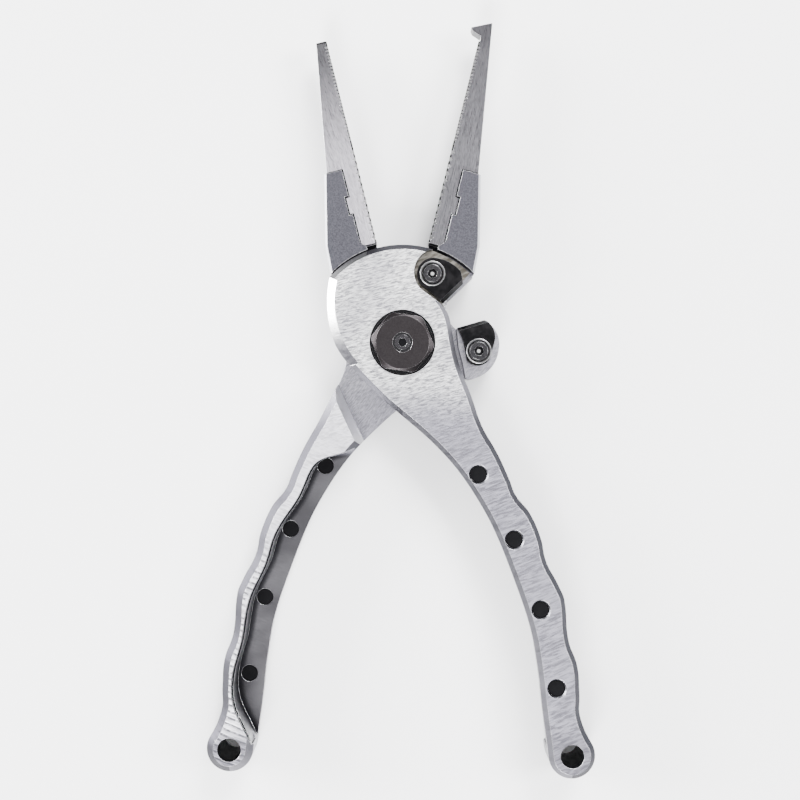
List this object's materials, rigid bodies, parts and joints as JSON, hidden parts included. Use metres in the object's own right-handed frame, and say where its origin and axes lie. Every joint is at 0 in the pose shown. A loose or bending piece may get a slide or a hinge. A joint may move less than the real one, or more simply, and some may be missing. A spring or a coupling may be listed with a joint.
{
  "type": "fishing pliers",
  "caption": "Lap-jointed fishing pliers with toothed jaws, a split-ring beak, side cutters, a sprung hinge and finger-grooved handles with lanyard holes.",
  "frame": {"origin": "on the pivot axis, in the plane of the back face that the pliers lie on", "axes": "+Z along the pivot axis toward the hexagonal cap, +Y toward the jaw tips, +X toward the side with the cutters"},
  "size_m": [0.0868, 0.1696, 0.0134],
  "materials": {
    "frame_aluminium": "satin, clear anodised",
    "jaw_steel": "brushed stainless steel",
    "screw_steel": "machined stainless steel",
    "cutter_black": "black oxide on hardened steel",
    "cap_black": "black anodised",
    "washer_plastic": "natural acetal",
    "bush_bronze": "turned bearing bronze",
    "spring_steel": "drawn spring wire",
    "plug_rubber": "matt black rubber"
  },
  "bodies": {
    "rear_half": {"rear_frame": "frame_aluminium", "right_jaw": "jaw_steel", "right_jaw_screws": "screw_steel", "lower_cutter": "cutter_black", "lower_cutter_screw": "screw_steel", "pivot_bolt": "screw_steel", "pivot_cap": "cap_black", "pivot_lock_screw": "screw_steel", "cap_washer": "screw_steel", "lap_washer": "washer_plastic", "return_spring": "spring_steel", "stop_pin": "screw_steel", "rear_hole_plugs": "plug_rubber"},
    "front_half": {"front_frame": "frame_aluminium", "left_jaw": "jaw_steel", "left_jaw_screws": "screw_steel", "upper_cutter": "cutter_black", "upper_cutter_screw": "screw_steel", "pivot_bushing": "bush_bronze", "front_hole_plugs": "plug_rubber"}
  },
  "joints": [
    {"name": "main_pivot", "type": "hinge", "parent": "rear_half", "child": "front_half", "pos_m": [0, 0, 0], "axis": [0, 0, 1], "range_deg": [-28, 0], "stiffness_Nm_per_rad": 0.3, "springref_deg": 28.65, "deforming": ["return_spring"]}
  ]
}
